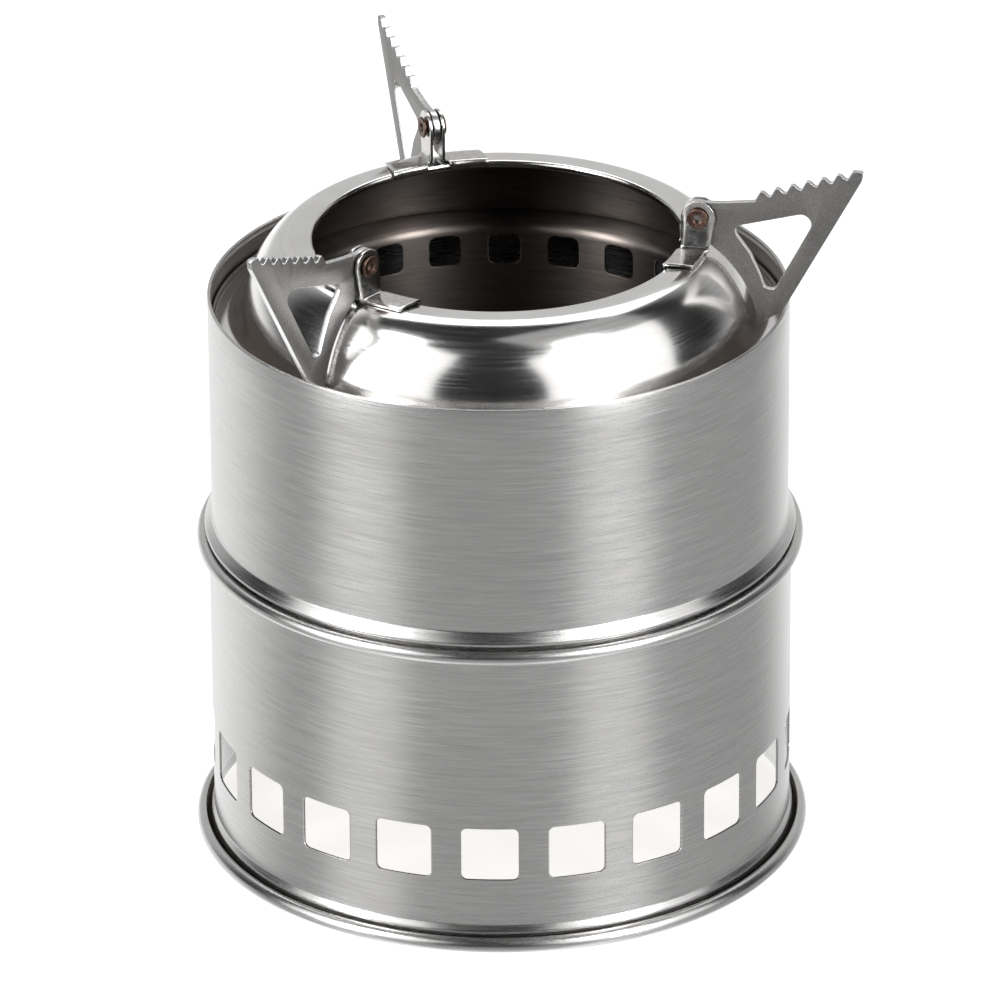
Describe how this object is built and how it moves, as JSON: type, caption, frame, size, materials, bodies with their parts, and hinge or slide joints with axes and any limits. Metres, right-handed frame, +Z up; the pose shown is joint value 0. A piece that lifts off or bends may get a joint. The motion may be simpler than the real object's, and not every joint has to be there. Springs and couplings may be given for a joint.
{
  "type": "rocket stove",
  "caption": "Portable wood-burning camping stove: windowed sheet-steel base, nested double-walled burner and a swept pot ring with fold-in toothed arms.",
  "frame": {"origin": "centre of the footprint's bounding box, on the ground; the stove's own round axis is parallel to Z at x = -5.95 mm, y = 0, because one arm reaches past the foot bead on +X", "axes": "+Z up along the stove's axis; +X along the first arm, away from the stove's axis; +Y completes the frame"},
  "size_m": [0.1467, 0.138, 0.1609],
  "materials": {
    "brushed_steel": "fine brushed round the stove, satin",
    "polished_steel": "pressed and polished, mirror-like",
    "inner_steel": "mill finish, dull, slightly heat-tinted",
    "bracket_steel": "bright pressed strip",
    "arm_steel": "tumbled, matte, with bright sheared edges",
    "rivet_copper": "dark copper-brown, oxidised"
  },
  "bodies": {
    "base": {"base_shell": "brushed_steel", "ash_pan_tab_1": "inner_steel", "ash_pan_tab_2": "inner_steel", "ash_pan_tab_3": "inner_steel"},
    "pan": {"ash_pan": "inner_steel"},
    "burner": {"outer_wall": "brushed_steel", "fire_chamber": "inner_steel", "fire_grate": "inner_steel"},
    "ring": {"pot_ring": "polished_steel", "arm_bracket_left_1": "bracket_steel", "arm_bracket_right_1": "bracket_steel", "rivet_1": "rivet_copper", "arm_bracket_left_2": "bracket_steel", "arm_bracket_right_2": "bracket_steel", "rivet_2": "rivet_copper", "arm_bracket_left_3": "bracket_steel", "arm_bracket_right_3": "bracket_steel", "rivet_3": "rivet_copper"},
    "arm_1": {"pot_arm_1": "arm_steel"},
    "arm_2": {"pot_arm_2": "arm_steel"},
    "arm_3": {"pot_arm_3": "arm_steel"}
  },
  "joints": [
    {"name": "burner_lift", "type": "slide", "parent": "base", "child": "burner", "axis": [0, 0, 1], "range_m": [0, 0.1]},
    {"name": "pan_lift", "type": "slide", "parent": "base", "child": "pan", "axis": [0, 0, 1], "range_m": [0, 0.05]},
    {"name": "ring_lift", "type": "slide", "parent": "burner", "child": "ring", "axis": [0, 0, 1], "range_m": [0, 0.06]},
    {"name": "arm_fold_1", "type": "hinge", "parent": "ring", "child": "arm_1", "pos_m": [0.03795, 0, 0.1481], "axis": [0, -1, 0], "range_deg": [0, 214]},
    {"name": "arm_fold_2", "type": "hinge", "parent": "ring", "child": "arm_2", "pos_m": [-0.0279, 0.03802, 0.1481], "axis": [0.866, 0.5, 0], "range_deg": [0, 214]},
    {"name": "arm_fold_3", "type": "hinge", "parent": "ring", "child": "arm_3", "pos_m": [-0.0279, -0.03802, 0.1481], "axis": [-0.866, 0.5, 0], "range_deg": [0, 214]}
  ],
  "couplings": [
    {"joint": "pan_lift", "follows": "burner_lift", "ratio": 0.5}
  ]
}
